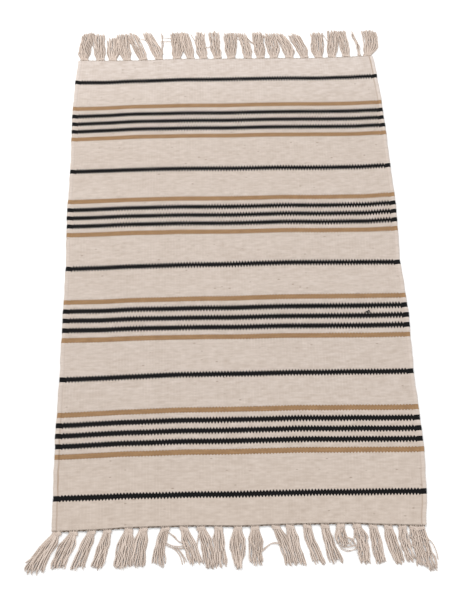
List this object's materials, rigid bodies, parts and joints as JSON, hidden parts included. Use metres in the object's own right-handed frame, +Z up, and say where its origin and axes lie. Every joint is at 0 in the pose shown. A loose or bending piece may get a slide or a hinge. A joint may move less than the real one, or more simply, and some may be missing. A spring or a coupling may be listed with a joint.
{
  "type": "fringed flatweave rug",
  "caption": "Handwoven flatweave cotton rug in natural cream with crosswise black and tan stripes and a knotted fringe of loose yarn tassels on both ends.",
  "frame": {"origin": "centre of the underside, on the surface the rug lies on", "axes": "+X across the rug along the stripes, +Y along the rug's length towards the far fringe, +Z up"},
  "size_m": [0.6325, 1.029, 0.0044],
  "materials": {
    "natural_weft": "matte",
    "black_weft": "matte",
    "tan_weft": "matte",
    "warp_cotton": "matte",
    "fringe_cotton": "matte",
    "edge_cord": "matte"
  },
  "bodies": {
    "near_half": {"near_end_band": "natural_weft", "black_stripe_1": "black_weft", "natural_band_1": "natural_weft", "group_1_near_tan": "tan_weft", "group_1_black_a": "black_weft", "group_1_black_b": "black_weft", "group_1_black_c": "black_weft", "group_1_far_tan": "tan_weft", "group_1_natural_lines": "natural_weft", "natural_band_2": "natural_weft", "black_stripe_2": "black_weft", "natural_band_3": "natural_weft", "group_2_near_tan": "tan_weft", "group_2_black_a": "black_weft", "group_2_black_b": "black_weft", "group_2_black_c": "black_weft", "group_2_far_tan": "tan_weft", "group_2_natural_lines": "natural_weft", "natural_band_4": "natural_weft", "black_stripe_3": "black_weft", "near_warp_yarns": "warp_cotton", "near_left_selvedge_cords": "edge_cord", "near_right_selvedge_cords": "edge_cord", "near_twined_row": "edge_cord"},
    "far_half": {"natural_band_5": "natural_weft", "group_3_near_tan": "tan_weft", "group_3_black_a": "black_weft", "group_3_black_b": "black_weft", "group_3_black_c": "black_weft", "group_3_far_tan": "tan_weft", "group_3_natural_lines": "natural_weft", "natural_band_6": "natural_weft", "black_stripe_4": "black_weft", "natural_band_7": "natural_weft", "group_4_near_tan": "tan_weft", "group_4_black_a": "black_weft", "group_4_black_b": "black_weft", "group_4_black_c": "black_weft", "group_4_far_tan": "tan_weft", "group_4_natural_lines": "natural_weft", "natural_band_8": "natural_weft", "black_stripe_5": "black_weft", "far_end_band": "natural_weft", "far_warp_yarns": "warp_cotton", "far_left_selvedge_cords": "edge_cord", "far_right_selvedge_cords": "edge_cord", "far_twined_row": "edge_cord"},
    "near_fringe": {"near_knots": "fringe_cotton", "near_tassels": "fringe_cotton"},
    "far_fringe": {"far_knots": "fringe_cotton", "far_tassels": "fringe_cotton"}
  },
  "joints": [
    {"name": "fold_in_half", "type": "hinge", "parent": "near_half", "child": "far_half", "pos_m": [0, 0.0044, 0.0087], "axis": [1, 0, 0], "range_deg": [0, 179.8]},
    {"name": "near_fringe_flip", "type": "hinge", "parent": "near_half", "child": "near_fringe", "pos_m": [0, -0.4503, 0.00435], "axis": [-1, 0, 0], "range_deg": [0, 179.8]},
    {"name": "far_fringe_flip", "type": "hinge", "parent": "far_half", "child": "far_fringe", "pos_m": [0, 0.4503, 0.00435], "axis": [1, 0, 0], "range_deg": [0, 179.8]}
  ]
}
